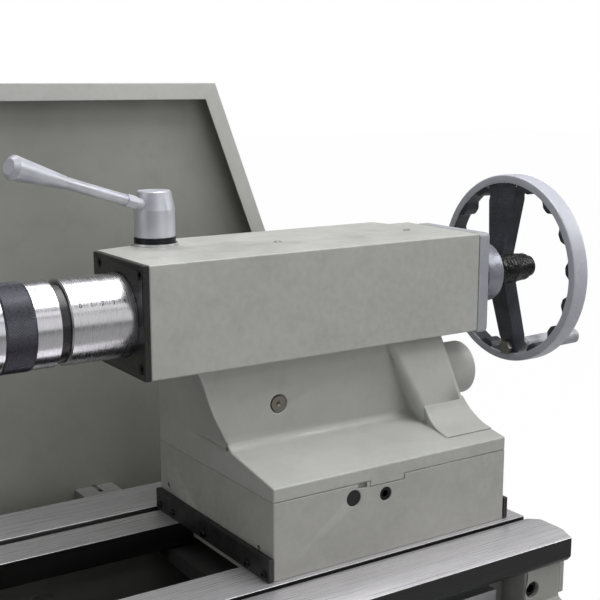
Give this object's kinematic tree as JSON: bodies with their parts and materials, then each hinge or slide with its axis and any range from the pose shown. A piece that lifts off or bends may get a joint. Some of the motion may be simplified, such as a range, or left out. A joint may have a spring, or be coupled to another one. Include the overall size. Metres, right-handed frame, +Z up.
{
  "type": "lathe tailstock on bed end section",
  "caption": "Metal lathe's tail end: tailstock with quill, live centre, lock lever and handwheel, on a bed section with ground ways, rack, rods and a rear splash guard.",
  "frame": {"origin": "underside of the bed, on the plane of centres, below the mouth of the tailstock", "axes": "+X along the spindle axis towards the handwheel, +Y to the back, +Z up"},
  "size_m": [0.9766, 0.4225, 0.7306],
  "materials": {
    "bed_iron": "grey-green paint with ground ways",
    "casting_paint": "semi-gloss light grey-green paint",
    "guard_paint": "satin grey sheet-metal paint",
    "black_paint": "gloss black paint",
    "cover_paint": "silver-grey paint",
    "wheel_finish": "silver-grey rim, black crinkle paint inside",
    "grip_paint": "light grey satin",
    "ground_steel": "ground",
    "bright_steel": "polished",
    "satin_steel": "satin chrome",
    "black_oxide": "black oxide",
    "zinc": "zinc plated",
    "bronze": "machined bronze",
    "brass": "machined brass",
    "black_wiper": "moulded",
    "black_plastic": "moulded phenolic"
  },
  "bodies": {
    "bed": {"bed_casting": "bed_iron", "rack": "ground_steel", "rack_screws": "black_oxide", "rod_end_bracket": "casting_paint", "bracket_screws": "black_oxide", "bed_end_cover": "casting_paint", "bed_cover_screws": "black_oxide", "splash_guard": "guard_paint", "guard_brackets": "guard_paint", "guard_screws": "zinc"},
    "leadscrew": {"leadscrew": "bright_steel"},
    "feed_rod": {"feed_rod": "bright_steel"},
    "control_rod": {"control_rod": "bright_steel"},
    "tailstock_base": {"base_casting": "casting_paint", "left_wiper": "black_wiper", "right_wiper": "black_wiper", "wiper_screws": "black_oxide", "base_plug": "black_oxide", "cross_key": "ground_steel", "key_screw": "black_oxide"},
    "tailstock_body": {"body_casting": "casting_paint", "end_plate": "black_paint", "end_plate_screws": "black_oxide", "end_cover": "cover_paint", "end_cover_screws": "black_oxide", "oilers": "brass", "guide_key": "ground_steel", "thrust_bearings": "bright_steel", "bearing_cover": "satin_steel", "seat_ring": "bright_steel"},
    "front_set_screw": {"front_set_screw": "black_oxide"},
    "rear_set_screw": {"rear_set_screw": "black_oxide"},
    "quill": {"quill": "ground_steel", "quill_nut": "bronze", "nut_screws": "black_oxide", "centre_arbor": "ground_steel", "centre_bearings": "bright_steel", "seal_ring": "black_oxide", "knurled_ring": "black_oxide"},
    "centre_point": {"centre_point": "ground_steel"},
    "handwheel": {"feed_screw": "bright_steel", "dial_collar": "satin_steel", "handwheel": "wheel_finish", "wheel_key": "ground_steel", "wheel_nut": "black_oxide", "crank_shank": "satin_steel"},
    "crank_grip": {"crank_grip": "grip_paint"},
    "quill_lock": {"lock_collar": "black_oxide", "lever_hub": "satin_steel", "lever_rod": "satin_steel", "lever_grip": "satin_steel", "lock_stud": "ground_steel"},
    "upper_shoe": {"upper_shoe": "bronze"},
    "lower_shoe": {"lower_shoe": "bronze"},
    "bed_clamp": {"eccentric_shaft": "ground_steel", "clamp_lever": "satin_steel", "clamp_knob": "black_plastic"},
    "clamp_plate": {"draw_bolt": "ground_steel", "clamp_plate": "bed_iron", "clamp_nut": "black_oxide"}
  },
  "joints": [
    {"name": "tailstock_slide", "type": "slide", "parent": "bed", "child": "tailstock_base", "axis": [1, 0, 0], "range_m": [-0.3, 0.02]},
    {"name": "set_over", "type": "slide", "parent": "tailstock_base", "child": "tailstock_body", "axis": [0, 1, 0], "range_m": [-0.006, 0.006]},
    {"name": "front_screw_turn", "type": "hinge", "parent": "tailstock_body", "child": "front_set_screw", "pos_m": [0.2125, -0.108, 0.3568], "axis": [0, 1, 0], "range_deg": [-1450, 1450]},
    {"name": "rear_screw_turn", "type": "hinge", "parent": "tailstock_body", "child": "rear_set_screw", "pos_m": [0.2125, 0.108, 0.3568], "axis": [0, 1, 0], "range_deg": [-1450, 1450]},
    {"name": "quill_slide", "type": "slide", "parent": "tailstock_body", "child": "quill", "axis": [1, 0, 0], "range_m": [-0.1, 0.03]},
    {"name": "handwheel_turn", "type": "hinge", "parent": "tailstock_body", "child": "handwheel", "pos_m": [0.4572, 0, 0.5316], "axis": [1, 0, 0], "range_deg": [-7205, 2165]},
    {"name": "centre_spin", "type": "hinge", "parent": "quill", "child": "centre_point", "pos_m": [-0.12, 0, 0.5316], "axis": [1, 0, 0], "continuous": true},
    {"name": "crank_grip_spin", "type": "hinge", "parent": "handwheel", "child": "crank_grip", "pos_m": [0.52, -0.00904, 0.44557], "axis": [1, 0, 0], "continuous": true},
    {"name": "quill_lock_turn", "type": "hinge", "parent": "tailstock_body", "child": "quill_lock", "pos_m": [0.067, 0.064, 0.5916], "axis": [0, 0, 1], "range_deg": [-40, 30]},
    {"name": "upper_shoe_close", "type": "slide", "parent": "tailstock_body", "child": "upper_shoe", "axis": [0, 0, 1], "range_m": [-0.00031, 0.00024]},
    {"name": "lower_shoe_close", "type": "slide", "parent": "tailstock_body", "child": "lower_shoe", "axis": [0, 0, 1], "range_m": [-0.00024, 0.00031]},
    {"name": "bed_clamp_turn", "type": "hinge", "parent": "tailstock_body", "child": "bed_clamp", "pos_m": [0.1456, 0.02, 0.4347], "axis": [0, 1, 0], "range_deg": [-30, 30]},
    {"name": "clamp_plate_lift", "type": "slide", "parent": "tailstock_body", "child": "clamp_plate", "axis": [0, 0, 1], "range_m": [-0.0016, 0.0016]},
    {"name": "leadscrew_spin", "type": "hinge", "parent": "bed", "child": "leadscrew", "pos_m": [0, -0.17, 0.208], "axis": [1, 0, 0], "continuous": true},
    {"name": "feed_rod_spin", "type": "hinge", "parent": "bed", "child": "feed_rod", "pos_m": [0, -0.17, 0.17], "axis": [1, 0, 0], "continuous": true},
    {"name": "control_rod_turn", "type": "hinge", "parent": "bed", "child": "control_rod", "pos_m": [0, -0.17, 0.137], "axis": [1, 0, 0], "range_deg": [-20, 20]}
  ],
  "couplings": [
    {"joint": "front_screw_turn", "follows": "set_over", "rad_per_m": 4188.8},
    {"joint": "rear_screw_turn", "follows": "set_over", "rad_per_m": 4188.8},
    {"joint": "handwheel_turn", "follows": "quill_slide", "rad_per_m": 1256.6},
    {"joint": "upper_shoe_close", "follows": "quill_lock_turn", "m_per_rad": 0.00043},
    {"joint": "lower_shoe_close", "follows": "quill_lock_turn", "m_per_rad": -0.00043},
    {"joint": "clamp_plate_lift", "follows": "bed_clamp_turn", "m_per_rad": -0.003}
  ]
}
